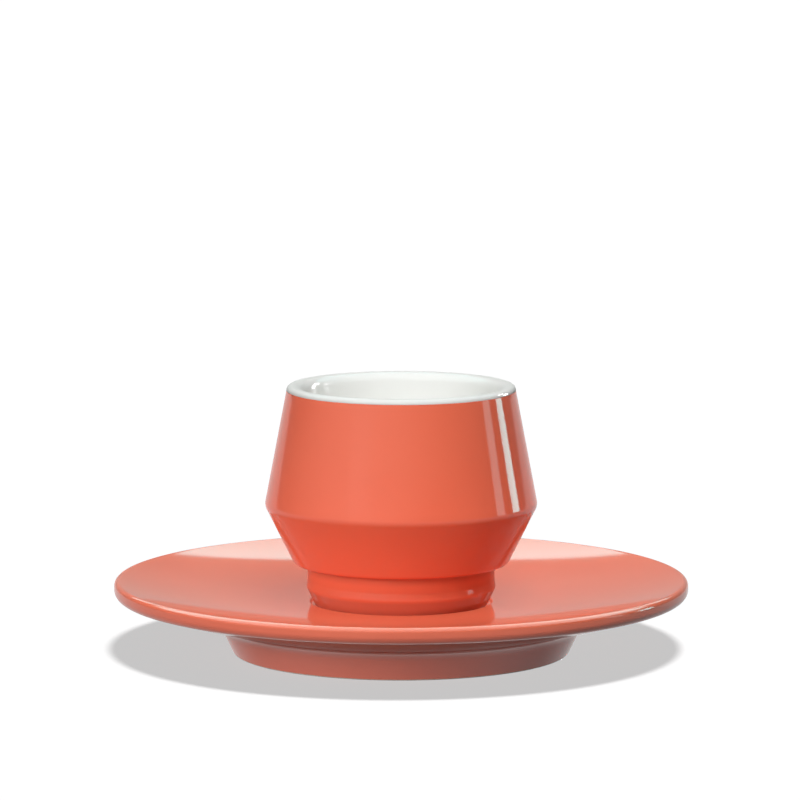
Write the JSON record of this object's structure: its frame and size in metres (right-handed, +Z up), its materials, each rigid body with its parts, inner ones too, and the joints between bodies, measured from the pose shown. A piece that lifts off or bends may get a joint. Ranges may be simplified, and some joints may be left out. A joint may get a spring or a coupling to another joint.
{
  "type": "espresso cup and saucer",
  "caption": "Handleless double-walled espresso cup in gloss coral glaze with a white inside and lip, standing in the shallow seat of a wide coral saucer.",
  "frame": {"origin": "centre of the ring that the saucer stands on, at table level", "axes": "+Z up along the common axis of the saucer and the cup; X and Y are free, because both are turned about Z"},
  "size_m": [0.145, 0.145, 0.0676],
  "materials": {
    "coral_glaze": "gloss",
    "white_glaze": "gloss",
    "silicone": "matte"
  },
  "bodies": {
    "saucer": {"saucer": "coral_glaze"},
    "cup": {"cup_outer_shell": "coral_glaze", "cup_inner_liner": "white_glaze", "vent_plug": "silicone"}
  },
  "joints": [
    {"name": "cup_lift", "type": "slide", "parent": "saucer", "child": "cup", "axis": [0, 0, 1], "range_m": [0, 0.09]}
  ]
}
